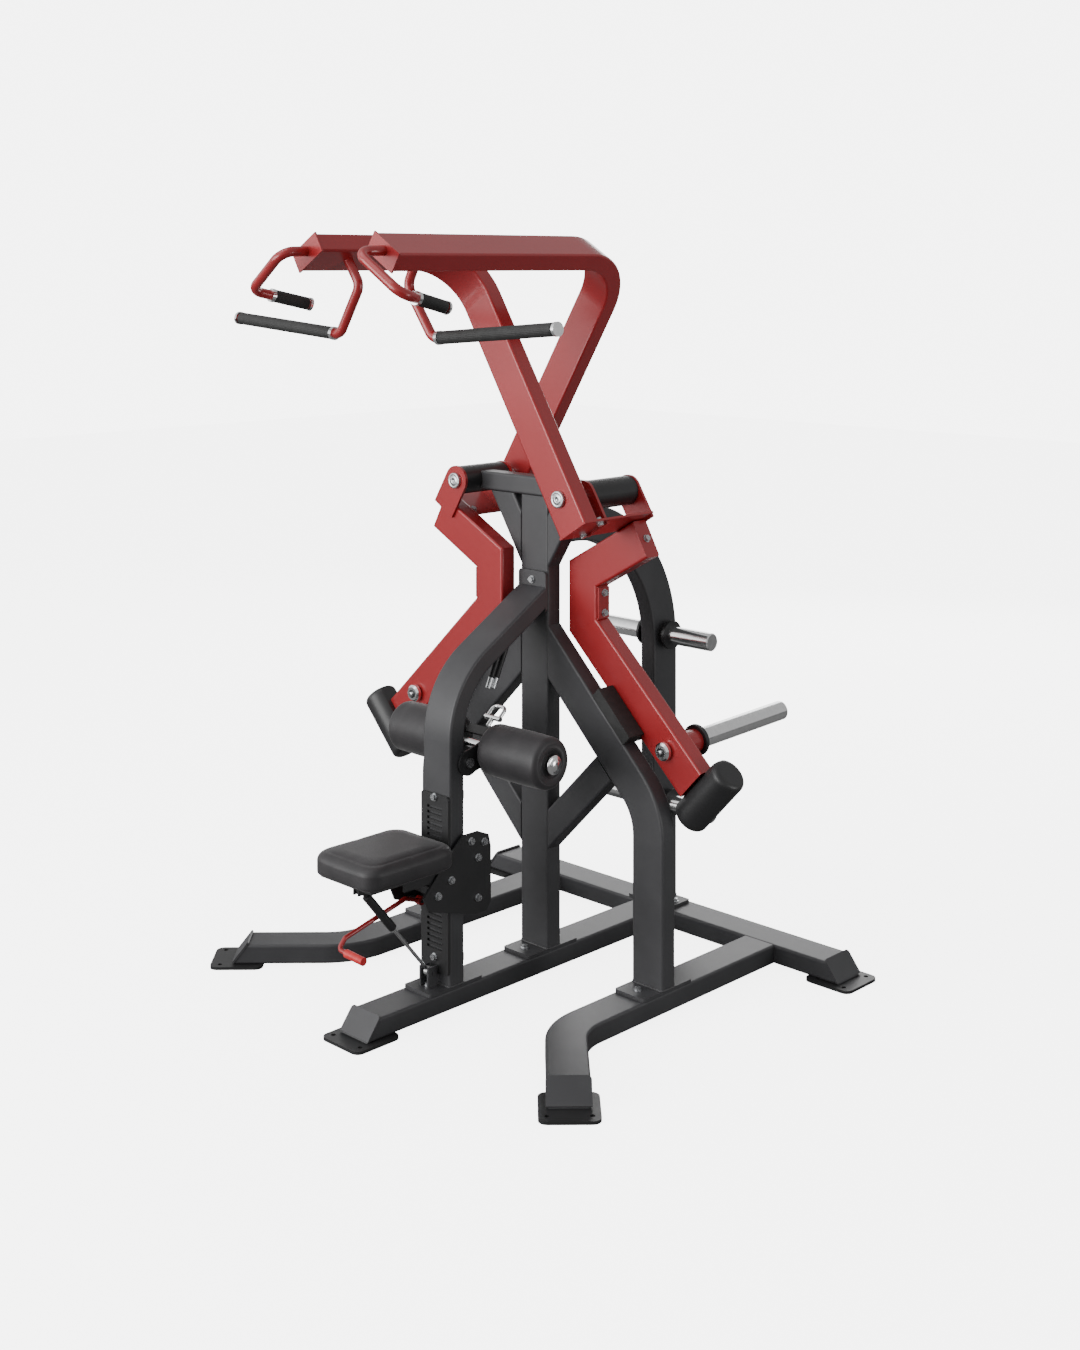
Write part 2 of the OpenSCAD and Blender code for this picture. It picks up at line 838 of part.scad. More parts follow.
// bar about local z with a chamfer at each end
module sleeve(r, from, to, chamfer) {
    rotate_extrude() polygon([
        [0, from], [r - chamfer, from], [r, from + chamfer],
        [r, to - chamfer], [r - chamfer, to], [0, to]
    ]);
}

module horn(side) {
    color(steel) horn_frame(side) {
        sleeve(23, -20, -1, 5);
        translate([0, 0, -2]) cylinder(r = 12, h = neck_l + 14);
        translate([0, 0, neck_l + 12]) cylinder(r = sleeve_r, h = 10);
        sleeve(sleeve_r, neck_l + 14, horn_l, 3);
    }
}

module horn_collar(side) {
    color(black) horn_frame(side) difference() {
        union() {
            translate([0, 0, tube_d + 1.2]) cylinder(r = 30, h = neck_l - tube_d);
            sleeve(collar_r, neck_l, neck_l + 12, 2);
        }
        cylinder(r = 12.1, h = 200);
    }
}

weight_r = 46;
weight_l = 190;
weight_edge = 14;

// cylinder about local z with rounded rims
module weight_body() {
    flat = weight_l / 2 - weight_edge;
    rotate_extrude() polygon(concat(
        [[0, -weight_l / 2]],
        [for (a = [-90:15:0])
            [weight_r - weight_edge * (1 - cos(a)), -flat + weight_edge * sin(a)]],
        [for (a = [0:15:90])
            [weight_r - weight_edge * (1 - cos(a)), flat + weight_edge * sin(a)]],
        [[0, weight_l / 2]]
    ));
}

module counterweight(side) {
    end = weight_path(side)[3];
    dir = unit(end - weight_path(side)[2]);
    mid = end + 40.3 * dir;
    color(black) lever(side) difference() {
        along([mid[0], 72, mid[1]], [-dir[1], 0, dir[0]], [0, 1, 0]) weight_body();
        along([end[0] + 0.3 * dir[0], 72, end[1] + 0.3 * dir[1]], [-dir[0], 0, -dir[1]], [0, 1, 0])
            translate([-120, -80, 0]) cube([240, 160, 60]);
    }
}

// handle rods of the left lever as bent bars; the right lever mirrors them
rod_r = 12.5;
grip_r = 16;
fore_rod = [[146, -671, 1899], [139, -751, 1897], [278, -738, 1802], [255, -580, 1767]];
side_rod = [[127, -555, 1877], [89, -549, 1815], [173, -543, 1691], [582, -548, 1723]];
grip_runs = [[fore_rod[2], fore_rod[3], 100], [side_rod[2], side_rod[3], 382]];

module hand(side) { mirror([side > 0 ? 1 : 0, 0, 0]) children(); }

module handles(side) {
    color(red) difference() {
        hand(side) {
            bent_rod(fore_rod, 32, rod_r);
            bent_rod(side_rod, 32, rod_r);
        }
        // the pull arm and its end plate, which the rods are welded to
        lever(side) lever_frame()
            translate([-half_w - 0.05, side > 0 ? -arm_reach - 5.05 : arm_reach - 294.95, arm_up - half_d - 0.05])
                cube([tube_w + 0.1, 300, tube_d + 0.1]);
    }
}

module grips(side) {
    color(black) hand(side) for (g = grip_runs) {
        dir = unit(g[1] - g[0]);
        difference() {
            rod(g[1] - g[2] * dir, g[1] - 3 * dir, grip_r);
            rod(g[1] - 500 * dir, g[1] + 10 * dir, rod_r + 0.05);
        }
    }
}

module grip_caps(side) {
    color(steel) hand(side) for (g = grip_runs) {
        dir = unit(g[1] - g[0]);
        rod(g[1] + 0.1 * dir, g[1] + 8 * dir, grip_r + 1);
        difference() {
            rod(g[1] - (g[2] + 10) * dir, g[1] - (g[2] + 0.2) * dir, grip_r + 1);
            rod(g[1] - 500 * dir, g[1], rod_r + 0.05);
        }
    }
}

module right_pull_arm() { pull_arm(1); }
module right_yoke() { yoke(1); }
module right_weight_arm() { weight_arm(1); }
module right_shaft() { shaft(1); }
module right_horn() { horn(1); }
module right_horn_collar() { horn_collar(1); }
module right_counterweight() { counterweight(1); }
module right_handles() { handles(1); }
module right_grips() { grips(1); }
module right_grip_caps() { grip_caps(1); }
module right_bolts() { lever_bolts(1); }
module left_pull_arm() { pull_arm(-1); }
module left_yoke() { yoke(-1); }
module left_weight_arm() { weight_arm(-1); }
module left_shaft() { shaft(-1); }
module left_horn() { horn(-1); }
module left_horn_collar() { horn_collar(-1); }
module left_counterweight() { counterweight(-1); }
module left_handles() { handles(-1); }
module left_grips() { grips(-1); }
module left_grip_caps() { grip_caps(-1); }
module left_bolts() { lever_bolts(-1); }

place() centre_rail();
place() left_side_rail();
place() right_side_rail();
place() rear_crossbar();
place() foot_plates();
place() foot_end_plates();
place() base_flanges();
place() mast();
place() top_beam();
place() beam_struts();
place() left_leg();
place() right_leg();
place() leg_braces();
place() rear_arch();
place() front_post();
place() bearing_housings();
place() pivot_bushes();
place() stop_bumpers();
place() storage_horns();
place() storage_collars();
place() frame_bolts();
place() seat_guide_plate();
place() seat_guide_strip();
place() gas_spring_bracket();
place() band_pegs();
place() thigh_bracket();
place() thigh_axle();
place() thigh_pin();
place() left_thigh_roller();
place() right_thigh_roller();
place() seat_carriage();
place() carriage_bolts();
place() seat_pan();
place() seat_pad();
place() release_lever();
place() release_grip();
place() gas_spring_tube();
place() gas_spring_rod();
place() right_pull_arm();
place() right_yoke();
place() right_weight_arm();
place() right_shaft();
place() right_horn();
place() right_horn_collar();
place() right_counterweight();
place() right_handles();
place() right_grips();
place() right_grip_caps();
place() right_bolts();
place() left_pull_arm();
place() left_yoke();
place() left_weight_arm();
place() left_shaft();
place() left_horn();
place() left_horn_collar();
place() left_counterweight();
place() left_handles();
place() left_grips();
place() left_grip_caps();
place() left_bolts();
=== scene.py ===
import json
import math

import bmesh
import bpy
import numpy as np
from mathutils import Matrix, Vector


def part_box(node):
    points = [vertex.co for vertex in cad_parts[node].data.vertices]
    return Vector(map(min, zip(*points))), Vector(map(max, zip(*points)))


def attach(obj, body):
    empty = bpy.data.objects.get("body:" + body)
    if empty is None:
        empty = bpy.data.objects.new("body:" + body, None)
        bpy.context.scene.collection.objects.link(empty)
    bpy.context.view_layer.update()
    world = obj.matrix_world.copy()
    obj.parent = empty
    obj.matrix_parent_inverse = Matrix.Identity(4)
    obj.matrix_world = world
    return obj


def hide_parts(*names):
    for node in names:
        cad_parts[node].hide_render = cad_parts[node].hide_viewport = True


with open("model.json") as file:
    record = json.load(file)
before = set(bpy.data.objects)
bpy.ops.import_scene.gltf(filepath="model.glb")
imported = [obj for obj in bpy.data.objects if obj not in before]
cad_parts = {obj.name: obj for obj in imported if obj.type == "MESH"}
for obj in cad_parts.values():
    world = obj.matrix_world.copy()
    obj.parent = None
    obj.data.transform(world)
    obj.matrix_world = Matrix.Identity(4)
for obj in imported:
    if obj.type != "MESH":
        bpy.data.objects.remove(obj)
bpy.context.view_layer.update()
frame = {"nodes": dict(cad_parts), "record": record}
nodes = frame["nodes"]
print("frame loaded:", len(nodes), "nodes")

mm = 0.001


# ---- camera, floor and light ----

view = {
    "place": (3.3228, -3.2962, 1.867),  # metres, standing eye height at the right front corner
    "turn": 44.36,  # degrees about the upright
    "lens": 47.69,
    "rise": -0.3043,  # vertical shift that keeps the uprights parallel
}

studio = {
    "floor": "#F4F4F4",
    "floorLift": 5.0,  # brightness the floor adds where the camera sees it
    "floorShade": "#7A7A7A",  # what the machine sees of the floor
    "sky": "#FFFFFF",
    "skySeen": 6.0,
    "skyDim": 0.5,  # towards the right and the back
    "skyBright": 1.5,  # towards the front left, where the softboxes stand
    "skyTurn": (0.50, 0.84, 0.2),  # from the bright side of the sky to the machine
    "key": {"at": (-1.3, -4.9, 1.7), "size": (4.2, 3.2), "power": 225.0},
    "top": {"at": (-0.6, -1.6, 4.4), "size": (2.4, 2.4), "power": 30.0},
    "rim": {"at": (-2.6, 4.6, 2.3), "size": (4.0, 2.4), "power": 95.0},
    "side": {"at": (4.4, 1.4, 0.9), "size": (1.6, 1.6), "power": 42.0},
}


def linear(hexColour):
    # sRGB hex to a linear RGBA tuple
    parts = [int(hexColour[i:i + 2], 16) / 255 for i in (1, 3, 5)]
    return tuple(c / 12.92 if c <= 0.04045 else ((c + 0.055) / 1.055) ** 2.4 for c in parts) + (1.0,)


def link(obj):
    bpy.context.scene.collection.objects.link(obj)
    return obj


def addCamera():
    data = bpy.data.cameras.new("camera")
    data.lens = view["lens"]
    data.sensor_width = 36
    data.shift_y = view["rise"]
    camera = link(bpy.data.objects.new("camera", data))
    camera.location = view["place"]
    camera.rotation_euler = (math.radians(90), 0, math.radians(view["turn"]))
    bpy.context.scene.camera = camera


def addLight(name, at, size, power):
    data = bpy.data.lights.new(name, "AREA")
    data.shape = "RECTANGLE"
    data.size, data.size_y = size
    data.energy = power
    light = link(bpy.data.objects.new(name, data))
    light.location = at
    aim = Vector((0, 0, 0.9)) - Vector(at)
    light.rotation_euler = aim.to_track_quat("-Z", "Y").to_euler()


def setInputs(owner, node, values):
    # an input given as a socket is linked, any other value is set
    for key, value in values.items():
        if isinstance(value, bpy.types.NodeSocket):
            owner.node_tree.links.new(value, node.inputs[key])
        else:
            node.inputs[key].default_value = value


def addNode(owner, kind, inputs=None, **settings):
    # one node of a material or a world, with its settings
    node = owner.node_tree.nodes.new(kind)
    for key, value in settings.items():
        setattr(node, key, value)
    setInputs(owner, node, inputs or {})
    return node


def newMaterial(name):
    mat = bpy.data.materials.new(name)
    mat.use_nodes = True
    return mat, mat.node_tree.nodes["Principled BSDF"]


def tint(mat, fac, first, second):
    mix = addNode(mat, "ShaderNodeMix", {"Factor": fac}, data_type="RGBA")
    mix.inputs[6].default_value = linear(first)
    mix.inputs[7].default_value = linear(second)
    return mix.outputs[2]


def addStage():
    mat, shader = newMaterial("paleFloor")
    where = addNode(mat, "ShaderNodeTexCoord").outputs["Object"]
    seen = addNode(mat, "ShaderNodeLightPath").outputs["Is Camera Ray"]
    cloud = addNode(mat, "ShaderNodeTexNoise", {"Vector": where, "Scale": 0.6, "Detail": 2.0})
    ramp = addNode(mat, "ShaderNodeMapRange", {
        "Value": cloud.outputs["Fac"], "To Min": 0.86, "To Max": 0.92,
    })
    lift = addNode(mat, "ShaderNodeMath", {0: seen, 1: studio["floorLift"]}, operation="MULTIPLY")
    setInputs(mat, shader, {
        "Base Color": tint(mat, seen, studio["floorShade"], studio["floor"]),
        "Roughness": ramp.outputs["Result"],
        "Specular IOR Level": 0.0,
        "Emission Color": linear(studio["sky"]),
        "Emission Strength": lift.outputs[0],
    })
    mesh = bpy.data.meshes.new("floor")
    reach = 14.0  # metres
    corners = [(-reach, -reach, 0), (reach, -reach, 0), (reach, reach, 0), (-reach, reach, 0)]
    mesh.from_pydata(corners, [], [(0, 1, 2, 3)])
    floor = link(bpy.data.objects.new("floor", mesh))
    mesh.materials.append(mat)
    addSky()
    for name in ("key", "top", "rim", "side"):
        addLight(name, **studio[name])


def addSky():
    # white behind the machine, and for its reflections bright at the front left and dim elsewhere
    world = bpy.data.worlds.new("studioSky")
    world.use_nodes = True
    back = world.node_tree.nodes["Background"]
    back.inputs["Color"].default_value = linear(studio["sky"])
    toward = addNode(world, "ShaderNodeNewGeometry").outputs["Incoming"]
    facing = addNode(
        world, "ShaderNodeVectorMath", {0: toward, 1: studio["skyTurn"]}, operation="DOT_PRODUCT",
    )
    glow = addNode(world, "ShaderNodeMapRange", {
        "Value": facing.outputs["Value"], "From Min": 0.0, "From Max": 0.9,
        "To Min": studio["skyDim"], "To Max": studio["skyBright"],
    })
    seen = addNode(world, "ShaderNodeLightPath").outputs["Is Camera Ray"]
    power = addNode(world, "ShaderNodeMix", {"Factor": seen}, data_type="FLOAT")
    world.node_tree.links.new(glow.outputs["Result"], power.inputs[2])
    power.inputs[3].default_value = studio["skySeen"]
    world.node_tree.links.new(power.outputs[0], back.inputs["Strength"])
    bpy.context.scene.world = world


addCamera()
addStage()
print("camera, floor and lights placed")


# ---- finishes ----

def objectPlace(mat):
    return addNode(mat, "ShaderNodeTexCoord").outputs["Object"]


def grain(mat, spacing, detail=3.0, rough=0.55):
    # noise whose lumps are about `spacing` millimetres apart
    return addNode(mat, "ShaderNodeTexNoise", {
        "Vector": objectPlace(mat), "Scale": 1 / (spacing * mm), "Detail": detail, "Roughness": rough,
    }).outputs["Fac"]


def spread(mat, value, low, high, fromLow=0.3, fromHigh=0.7):
    return addNode(mat, "ShaderNodeMapRange", {
        "Value": value, "From Min": fromLow, "From Max": fromHigh, "To Min": low, "To Max": high,
    }).outputs["Result"]


def bumped(mat, height, depth, strength=1.0):
    # depth in millimetres
    return addNode(mat, "ShaderNodeBump", {
        "Height": height, "Distance": depth * mm, "Strength": strength,
    }).outputs["Normal"]


def powderCoat(name, dark, light, rough):
    # Baked epoxy powder coat: an even satin skin with a fine orange peel and faint cloudy tone
    mat, shader = newMaterial(name)
    cloud = grain(mat, 140, 2.0)
    peel = grain(mat, 1.6, 2.0)
    speck = grain(mat, 0.7, 1.0)
    setInputs(mat, shader, {
        "Base Color": tint(mat, spread(mat, cloud, 0, 1), dark, light),
        "Roughness": spread(mat, speck, rough - 0.05, rough + 0.06),
        "Normal": bumped(mat, peel, 0.10, 0.5),
        "IOR": 1.5,
    })
    return mat


def candyRed():
    # Metallic red stove enamel under clear lacquer: deep in shade, pink where a lamp washes over it
    mat, shader = newMaterial("candyRedEnamel")
    flake = addNode(mat, "ShaderNodeTexVoronoi", {"Vector": objectPlace(mat), "Scale": 1 / (0.9 * mm)})
    sparkle = spread(mat, flake.outputs["Distance"], 0, 1, 0.1, 0.9)
    cloud = grain(mat, 180, 2.0)
    mixed = addNode(mat, "ShaderNodeMath", {0: sparkle, 1: cloud}, operation="MULTIPLY").outputs[0]
    setInputs(mat, shader, {
        "Base Color": tint(mat, mixed, "#94161A", "#AE2428"),
        "Metallic": 0.15,
        "Roughness": spread(mat, grain(mat, 2.0), 0.36, 0.44),
        "Normal": bumped(mat, grain(mat, 3.0, 1.0), 0.05, 0.4),
        "Coat Weight": 0.7,
        "Coat Roughness": 0.16,
    })
    return mat


def chromePlate():
    # Hard chrome over polished steel: mirror bright, with faint polishing haze round the bar
    mat, shader = newMaterial("hardChrome")
    haze = grain(mat, 9.0, 4.0)
    setInputs(mat, shader, {
        "Base Color": tint(mat, spread(mat, haze, 0, 1), "#ECEDEE", "#F8F8F8"),
        "Metallic": 1.0,
        "Roughness": spread(mat, haze, 0.12, 0.20),
        "Normal": bumped(mat, grain(mat, 0.6, 1.0), 0.01, 0.3),
    })
    return mat


def zincPlate():
    # Bright zinc on turned steel fasteners: pale grey, a little cloudy
    mat, shader = newMaterial("zincPlatedSteel")
    cloud = grain(mat, 3.0, 3.0)
    setInputs(mat, shader, {
        "Base Color": tint(mat, spread(mat, cloud, 0, 1), "#AEB1B4", "#D9DADB"),
        "Metallic": 1.0,
        "Roughness": spread(mat, cloud, 0.22, 0.36),
        "Normal": bumped(mat, grain(mat, 0.8, 1.0), 0.02, 0.4),
    })
    return mat


def bearingBronze():
    # Oil-soaked sintered bronze: dull gold with fine pores
    mat, shader = newMaterial("sinteredBronze")
    pores = grain(mat, 0.9, 2.0)
    setInputs(mat, shader, {
        "Base Color": tint(mat, spread(mat, pores, 0, 1), "#6E4F2A", "#A27B45"),
        "Metallic": 1.0,
        "Roughness": spread(mat, pores, 0.38, 0.5),
        "Normal": bumped(mat, pores, 0.05, 0.5),
    })
    return mat


def upholsteryVinyl():
    # Foam-backed black vinyl: soft sheen and a pebble grain about 1.4 mm across
    mat, shader = newMaterial("blackVinyl")
    cells = addNode(mat, "ShaderNodeTexVoronoi", {
        "Vector": objectPlace(mat), "Scale": 1 / (1.8 * mm), "Smoothness": 0.6,
    }, feature="SMOOTH_F1").outputs["Distance"]
    soft = grain(mat, 45, 2.0)
    setInputs(mat, shader, {
        "Base Color": tint(mat, spread(mat, soft, 0, 1), "#242325", "#2E2C2E"),
        "Roughness": spread(mat, cells, 0.42, 0.54, 0.1, 0.6),
        "Normal": bumped(mat, cells, 0.14, 0.45),
        "Sheen Weight": 0.15,
        "Sheen Roughness": 0.4,
    })
    return mat


def mouldedRubber(name, dark, light, rough):
    # Black moulded rubber: matt, with a dusty bloom
    mat, shader = newMaterial(name)
    bloom = grain(mat, 18, 3.0)
    setInputs(mat, shader, {
        "Base Color": tint(mat, spread(mat, bloom, 0, 1), dark, light),
        "Roughness": spread(mat, grain(mat, 1.2), rough - 0.06, rough + 0.06),
        "Normal": bumped(mat, grain(mat, 0.9, 2.0), 0.06, 0.5),
    })
    return mat


def dippedRed():
    # Dip-moulded PVC sleeve: bright red, glossy and slightly wavy
    mat, shader = newMaterial("dippedRedVinyl")
    setInputs(mat, shader, {
        "Base Color": tint(mat, spread(mat, grain(mat, 12), 0, 1), "#B82024", "#D23A3A"),
        "Roughness": spread(mat, grain(mat, 5), 0.28, 0.38),
        "Normal": bumped(mat, grain(mat, 6, 1.0), 0.12, 0.5),
    })
    return mat


finishes = {
    "frame_paint": powderCoat("charcoalPowderCoat", "#363638", "#3F3F41", 0.42),
    "black_paint": powderCoat("blackPowderCoat", "#202021", "#29292A", 0.40),
    "red_paint": candyRed(),
    "chrome": chromePlate(),
    "zinc": zincPlate(),
    "bronze": bearingBronze(),
    "rubber": mouldedRubber("mouldedRubber", "#1B1B1B", "#262626", 0.62),
    "vinyl": upholsteryVinyl(),
    "red_plastic": dippedRed(),
    "black_plastic": mouldedRubber("mouldedNylon", "#161617", "#202021", 0.45),
}

for part in frame["record"]["subparts"]:
    mesh = nodes[part["node"]].data
    if not mesh.materials:
        mesh.materials.append(None)
    for i in range(len(mesh.materials)):
        mesh.materials[i] = finishes[part["material_slot"]]
print("finishes given to", len(nodes), "nodes")


# ---- shapes worked out on grids ----

def faceOutward(mesh):
    work = bmesh.new()
    work.from_mesh(mesh)
    bmesh.ops.recalc_face_normals(work, faces=work.faces)
    work.to_mesh(mesh)
    work.free()


def gridObject(name, points, body, slot, capEnds=False):
    # points is an array (rows, columns, 3) in metres, and its columns close round
    rows, cols = points.shape[:2]
    r, c = np.meshgrid(np.arange(rows - 1), np.arange(cols), indexing="ij")
    right = (c + 1) % cols
    above = (r + 1) * cols
    quads = np.stack([r * cols + c, r * cols + right, above + right, above + c], -1).reshape(-1, 4)
    verts = points.reshape(-1, 3)
    faces = quads.tolist()
    if capEnds:
        faces.append(list(range(cols))[::-1])
        faces.append([(rows - 1) * cols + i for i in range(cols)])
    mesh = bpy.data.meshes.new(name)
    mesh.from_pydata(verts.tolist(), [], faces)
    mesh.update()
    mesh.shade_smooth()
    if capEnds:
        faceOutward(mesh)
    mesh.materials.append(finishes[slot])
    piece = link(bpy.data.objects.new(name, mesh))
    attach(piece, body)
    return piece


def axisFrame(axis):
    # two unit vectors square to the axis
    axis = np.array(axis, float) / np.linalg.norm(axis)
    spare = np.array([0, 0, 1.0]) if abs(axis[2]) < 0.9 else np.array([1.0, 0, 0])
    first = np.cross(spare, axis)
    first /= np.linalg.norm(first)
    return axis, first, np.cross(axis, first)


def turned(name, start, axis, along, radius, body, slot, sides=64, wave=None, capEnds=False):
    # point = start + along*axis + (radius + wave(angle, along)) * (cos(angle)*first + sin(angle)*second)
    axis, first, second = axisFrame(axis)
    angle = np.linspace(0, 2 * np.pi, sides, endpoint=False)
    along = np.asarray(along, float)[:, None]
    r = np.asarray(radius, float)[:, None] * np.ones((1, sides))
    if wave is not None:
        r = r + wave(angle[None, :], along)
    ring = np.cos(angle)[None, :, None] * first + np.sin(angle)[None, :, None] * second
    points = np.asarray(start, float) + along[..., None] * axis + r[..., None] * ring
    return gridObject(name, points, body, slot, capEnds=capEnds)


# ---- thigh rollers ----

roller = {
    "edge": 16, "recess": 5, "recessRadius": 34, "hole": 12.6, "swell": 1.2, "seam": 0.9, "seamWidth": 1.2,
}  # millimetres


def rollerProfile(length, radius):
    # along and radius in metres: bore, recessed face, rounded shoulder, faintly swollen barrel, and back
    edge = roller["edge"] * mm
    lap = np.linspace(0, np.pi / 2, 10)
    inner = roller["recessRadius"] * mm
    depth = roller["recess"] * mm
    outer = radius - edge
    halfAlong = np.concatenate([[depth, depth, depth * 0.4, 0, 0], edge * (1 - np.cos(lap))])
    halfRadius = np.concatenate([
        [roller["hole"] * mm, inner - 2 * mm, inner, inner + 2 * mm, outer],
        outer + edge * np.sin(lap),
    ])
    barrel = np.linspace(edge, length - edge, 18)[1:-1]
    swell = roller["swell"] * mm
    rise = swell * np.sin(np.pi * (barrel - edge) / (length - 2 * edge))
    seam = roller["seam"] * mm * np.exp(-((barrel - barrel[1]) / (roller["seamWidth"] * mm)) ** 2)
    along = np.concatenate([halfAlong, barrel, length - halfAlong[::-1]])
    # the shoulders are lowered by the swell, so that they meet the barrel
    halfRadius -= np.where(np.arange(len(halfRadius)) > 5, swell, 0)
    rad = np.concatenate([halfRadius, radius - swell + rise - seam, halfRadius[::-1]])
    return along, rad


def closeBore(obj):
    # joins the first and last ring so that the surface is closed through the bore
    mesh = bmesh.new()
    mesh.from_mesh(obj.data)
    loops = [e for e in mesh.edges if e.is_boundary]
    bmesh.ops.bridge_loops(mesh, edges=loops)
    bmesh.ops.recalc_face_normals(mesh, faces=mesh.faces)
    mesh.to_mesh(obj.data)
    mesh.free()
    obj.data.shade_smooth()


def addRoller(side):
    node = side + "_thigh_roller"
    low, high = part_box(node)
    along, rad = rollerProfile(high.x - low.x, (high.z - low.z) / 2)
    centre = (low.x, (low.y + high.y) / 2, (low.z + high.z) / 2)
    foam = turned(side + "RollerPad", centre, (1, 0, 0), along, rad, side + "_roller", "vinyl", 96)
    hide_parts(node)
    # the profile starts and ends at the bore, so the two end rings are joined by a sleeve
    closeBore(foam)


for side in ("left", "right"):
    addRoller(side)
print("thigh rollers made")


# ---- seat cushion ----

cushion = {
    "columns": 128, "corner": 42, "edge": 20, "inset": 5, "crown": 8,
    "seamDepth": 1.6, "pressure": 3.0, "cap": 7, "frames": 20,
}  # millimetres, apart from the counts and the pressure


def roundedOutline(halfX, halfY, corner, count):
    # even steps round a rectangle whose corners are quarter circles
    turn = np.radians(np.arange(0, 91, 5))
    arcs = []
    for signX, signY, first in ((1, 1, 0), (-1, 1, 90), (-1, -1, 180), (1, -1, 270)):
        swing = turn + math.radians(first)
        arcs.append(np.stack([
            signX * (halfX - corner) + corner * np.cos(swing),
            signY * (halfY - corner) + corner * np.sin(swing),
        ], 1))
    loop = np.concatenate(arcs + [arcs[0][:1]])
    far = np.concatenate([[0], np.cumsum(np.linalg.norm(np.diff(loop, axis=0), axis=1))])
    steps = np.linspace(0, far[-1], count, endpoint=False)
    return np.stack([np.interp(steps, far, loop[:, 0]), np.interp(steps, far, loop[:, 1])], 1)


def cushionPoints(low, high):
    # rings from the underside's middle, out round the rim and over to the top's middle; each ring is the
    # outline times a share of the half size: point = centre + share * outline, at the ring's height
    half = np.array([(high.x - low.x) / 2, (high.y - low.y) / 2]) - cushion["inset"] * mm
    centre = np.array([(low.x + high.x) / 2, (low.y + high.y) / 2])
    outline = roundedOutline(half[0], half[1], cushion["corner"] * mm, cushion["columns"])
    height = high.z - low.z
    edge = cushion["edge"] * mm
    lap = np.linspace(0, np.pi / 2, 6)
    bottom = np.array([[0.02, 0.0], [0.35, 0.0], [0.7, 0.0], [0.9, 0.0]])
    lower = np.stack([1 - (1 - np.sin(lap)) * 0.06, 0.008 * (1 - np.cos(lap))], 1)
    side = np.array([[1.0, 0.35 * height], [1.0, 0.55 * height]])
    crown = cushion["crown"] * mm
    upper = np.stack([
        1 - edge / half.min() * (1 - np.cos(lap)), height - crown - edge * (1 - np.sin(lap)),
    ], 1)
    inward = np.linspace(0.97, 0.02, 12)
    start = 1 - edge / half.min()
    top = np.stack([start * inward, height - crown * (inward ** 4)], 1)
    rings = np.concatenate([bottom, lower, side, upper, top])
    plan = centre + rings[:, None, :1] * outline[None]
    tall = np.broadcast_to(low.z + rings[:, None, 1:], plan[..., :1].shape)
    seamRow = len(bottom) + len(lower) + len(side) + len(upper) - 1
    return np.concatenate([plan, tall], -1), seamRow, len(bottom)


def inflate(obj, pinRows, columns):
    # soft foam pressed out against its skin: a short cloth run with a little pressure and no gravity
    start = np.zeros(len(obj.data.vertices) * 3)
    obj.data.vertices.foreach_get("co", start)
    start = start.reshape(-1, 3)
    group = obj.vertex_groups.new(name="board")
    group.add(list(range(pinRows * columns)), 1.0, "REPLACE")
    cloth = obj.modifiers.new("foam", "CLOTH")
    cloth.settings.use_pressure = True
    cloth.settings.uniform_pressure_force = cushion["pressure"]
    cloth.settings.effector_weights.gravity = 0
    cloth.settings.vertex_group_mass = "board"
    cloth.settings.tension_stiffness = 40
    cloth.settings.compression_stiffness = 40
    cloth.settings.bending_stiffness = 6
    scene = bpy.context.scene
    scene.frame_start, scene.frame_end = 1, cushion["frames"]
    for step in range(1, cushion["frames"] + 1):
        scene.frame_set(step)
    shape = obj.evaluated_get(bpy.context.evaluated_depsgraph_get())
    moved = np.zeros(len(shape.data.vertices) * 3)
    shape.data.vertices.foreach_get("co", moved)
    shift = moved.reshape(-1, 3) - start
    length = np.linalg.norm(shift, axis=1, keepdims=True)
    cap = cushion["cap"] * mm
    shift *= np.minimum(1, cap / np.maximum(length, 1e-9))
    obj.modifiers.remove(cloth)
    scene.frame_set(1)
    obj.data.vertices.foreach_set("co", (start + shift).reshape(-1))
    obj.data.update()


def addCushion():
    low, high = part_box("seat_pad")
    points, seamRow, pinRows = cushionPoints(low, high)
    pad = gridObject("seatCushion", points, "seat", "vinyl", capEnds=True)
    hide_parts("seat_pad")
    inflate(pad, pinRows, cushion["columns"])
    place = np.zeros(len(pad.data.vertices) * 3)
    pad.data.vertices.foreach_get("co", place)
    place = place.reshape(points.shape)
    # the sewn line between the top panel and the boxing sinks into the foam
    place[seamRow, :, 2] -= cushion["seamDepth"] * mm
    place[..., 2] = np.clip(place[..., 2], low.z + 0.2 * mm, high.z)
    place[..., 0] = np.clip(place[..., 0], low.x - 6 * mm, high.x + 6 * mm)
    pad.data.vertices.foreach_set("co", place.reshape(-1))
    pad.data.update()
    smooth = pad.modifiers.new("skin", "SUBSURF")
    smooth.levels = smooth.render_levels = 2


addCushion()
print("seat cushion made")


# ---- ribbed hand grips ----

grips = {"ribs": 28, "depth": 0.45, "chamfer": 1.5, "wall": 3.4, "fade": 3}  # count, then millimetres


def barOf(points):
    # middle, direction and length of a straight bar, from the spread of its points
    middle = (points.max(0) + points.min(0)) / 2
    spreadDir = np.linalg.svd(points - points.mean(0), full_matrices=False)[2][0]
    t = (points - middle) @ spreadDir
    flatDir = np.linalg.norm((points - middle) - t[:, None] * spreadDir, axis=1)
    return middle, spreadDir, t.min(), t.max(), flatDir.max()


